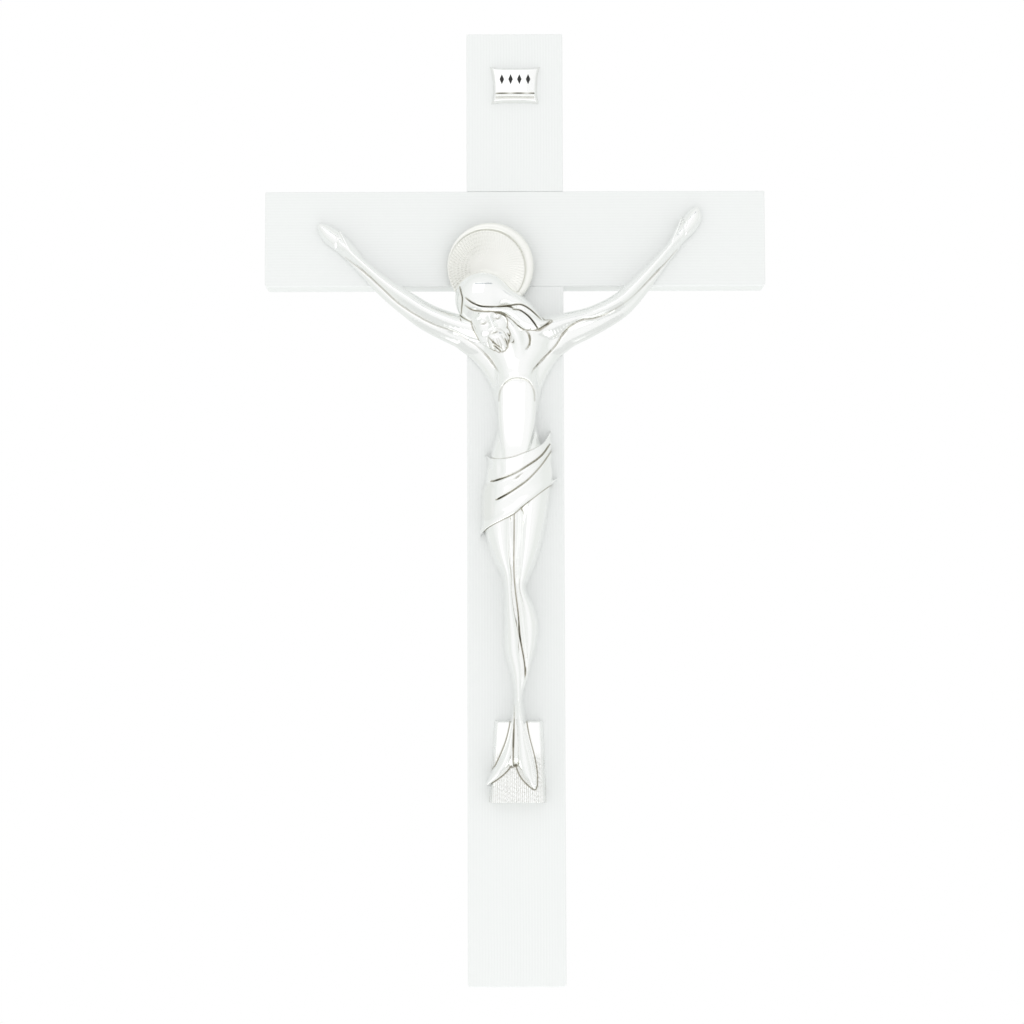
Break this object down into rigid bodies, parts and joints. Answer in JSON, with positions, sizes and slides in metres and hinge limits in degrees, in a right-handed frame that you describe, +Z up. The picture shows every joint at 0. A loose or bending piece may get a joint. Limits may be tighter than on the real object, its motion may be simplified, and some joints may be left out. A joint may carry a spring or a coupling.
{
  "type": "wall crucifix",
  "caption": "White lacquered wooden wall crucifix with a half-lapped crossbar, a silver figure with halo and foot rest, a scroll title plate and a recessed hanger plate.",
  "frame": {"origin": "on the flat back face of the upright, at the centre of the crossing", "axes": "+Y out of the back, towards the wall; +Z up along the upright; +X along the crossbar, to the right seen from the front"},
  "size_m": [0.211, 0.032, 0.4],
  "materials": {
    "white_lacquered_wood": "white satin lacquer over fine straight grain",
    "bare_beech": "bare",
    "silver": "polished, darkened in the engraved lines",
    "cast_resin": "matte",
    "dark_enamel": "gloss",
    "zinc_steel": "zinc plated"
  },
  "bodies": {
    "root": {"upright": "white_lacquered_wood", "crossbar": "white_lacquered_wood", "lap_dowels": "bare_beech", "corpus": "silver", "corpus_backing": "cast_resin", "corpus_screws": "zinc_steel", "hand_pins": "zinc_steel", "halo": "silver", "halo_pin": "zinc_steel", "foot_rest": "silver", "title_plate": "silver", "title_marks": "dark_enamel", "title_pins": "zinc_steel", "hanger_plate": "zinc_steel", "hanger_screws": "zinc_steel"}
  },
  "joints": []
}
